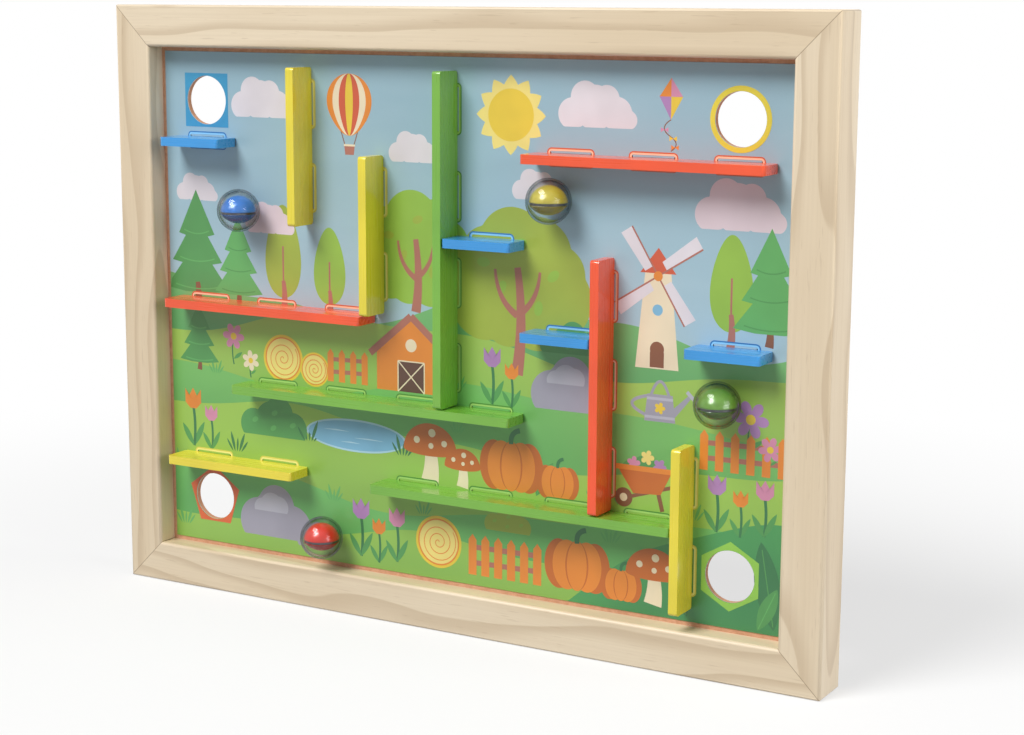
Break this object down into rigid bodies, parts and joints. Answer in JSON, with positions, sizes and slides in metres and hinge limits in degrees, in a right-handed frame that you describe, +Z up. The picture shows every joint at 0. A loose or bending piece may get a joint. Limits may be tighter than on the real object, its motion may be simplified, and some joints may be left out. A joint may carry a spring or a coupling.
{
  "type": "marble run panel",
  "caption": "Upright wooden marble run: a mitred frame round a pictured board with coloured slats, corner holes and clear balls with level coloured cores.",
  "frame": {"origin": "centre of the object's box at its lowest face, under the bottom rail", "axes": "+X along the width, -Y the front where the slats stand out, +Z up"},
  "size_m": [0.804, 0.0698, 0.617],
  "materials": {
    "frame_wood": "pale maple, satin clear lacquer",
    "dowel_wood": "plain beech",
    "board_fibre": "brown fibreboard, smooth",
    "steel": "zinc plated",
    "picture": "printed sheet, satin",
    "blue_paint": "painted, semi-gloss",
    "red_paint": "painted, semi-gloss",
    "green_paint": "painted, semi-gloss",
    "yellow_paint": "painted, semi-gloss",
    "clear_shell": "clear, polished",
    "magnet": "dark plated magnet",
    "blue_core": "coloured, polished",
    "blue_bowl": "tinted clear, polished",
    "red_core": "coloured, polished",
    "red_bowl": "tinted clear, polished",
    "green_core": "coloured, polished",
    "green_bowl": "tinted clear, polished",
    "yellow_core": "coloured, polished",
    "yellow_bowl": "tinted clear, polished"
  },
  "bodies": {
    "panel": {"frame_top": "frame_wood", "frame_bottom": "frame_wood", "frame_left": "frame_wood", "frame_right": "frame_wood", "corner_dowels": "dowel_wood", "board": "board_fibre", "steel_sheet": "steel", "picture_sheet": "picture", "hanger_plates": "steel", "hanger_screws": "steel", "slat_blue_top_left": "blue_paint", "slat_red_top_right": "red_paint", "slat_blue_middle": "blue_paint", "slat_red_left": "red_paint", "slat_blue_centre_right": "blue_paint", "slat_blue_right": "blue_paint", "slat_green_upper_level": "green_paint", "slat_green_lower_level": "green_paint", "slat_yellow_bottom_left": "yellow_paint", "slat_yellow_top_upright": "yellow_paint", "slat_yellow_middle_upright": "yellow_paint", "slat_green_upright": "green_paint", "slat_red_upright": "red_paint", "slat_yellow_bottom_upright": "yellow_paint"},
    "ball_blue_core": {"ball_blue_core_cap": "blue_core", "ball_blue_core_magnet": "magnet", "ball_blue_core_bowl": "blue_bowl"},
    "ball_blue_shell": {"ball_blue_shell_upper": "clear_shell", "ball_blue_shell_lower": "clear_shell"},
    "ball_yellow_core": {"ball_yellow_core_cap": "yellow_core", "ball_yellow_core_magnet": "magnet", "ball_yellow_core_bowl": "yellow_bowl"},
    "ball_yellow_shell": {"ball_yellow_shell_upper": "clear_shell", "ball_yellow_shell_lower": "clear_shell"},
    "ball_green_core": {"ball_green_core_cap": "green_core", "ball_green_core_magnet": "magnet", "ball_green_core_bowl": "green_bowl"},
    "ball_green_shell": {"ball_green_shell_upper": "clear_shell", "ball_green_shell_lower": "clear_shell"},
    "ball_red_core": {"ball_red_core_cap": "red_core", "ball_red_core_magnet": "magnet", "ball_red_core_bowl": "red_bowl"},
    "ball_red_shell": {"ball_red_shell_upper": "clear_shell", "ball_red_shell_lower": "clear_shell"}
  },
  "joints": [
    {"name": "ball_blue_travel", "type": "slide", "parent": "panel", "child": "ball_blue_core", "axis": [0, 0, 1], "range_m": [-0.074, 0.05]},
    {"name": "ball_blue_roll", "type": "hinge", "parent": "ball_blue_core", "child": "ball_blue_shell", "pos_m": [-0.2451, -0.0129, 0.4099], "axis": [1, 0, 0], "continuous": true},
    {"name": "ball_yellow_travel", "type": "slide", "parent": "panel", "child": "ball_yellow_core", "axis": [0, 0, 1], "range_m": [-0.103, 0.012]},
    {"name": "ball_yellow_roll", "type": "hinge", "parent": "ball_yellow_core", "child": "ball_yellow_shell", "pos_m": [0.11782, -0.0129, 0.43863], "axis": [1, 0, 0], "continuous": true},
    {"name": "ball_green_travel", "type": "slide", "parent": "panel", "child": "ball_green_core", "axis": [0, 0, 1], "range_m": [-0.165, 0.0185]},
    {"name": "ball_green_roll", "type": "hinge", "parent": "ball_green_core", "child": "ball_green_shell", "pos_m": [0.29412, -0.0129, 0.26287], "axis": [1, 0, 0], "continuous": true},
    {"name": "ball_red_travel", "type": "slide", "parent": "panel", "child": "ball_red_core", "axis": [0, 0, 1], "range_m": [-0.0125, 0.119]},
    {"name": "ball_red_roll", "type": "hinge", "parent": "ball_red_core", "child": "ball_red_shell", "pos_m": [-0.1462, -0.0129, 0.07781], "axis": [1, 0, 0], "continuous": true}
  ]
}
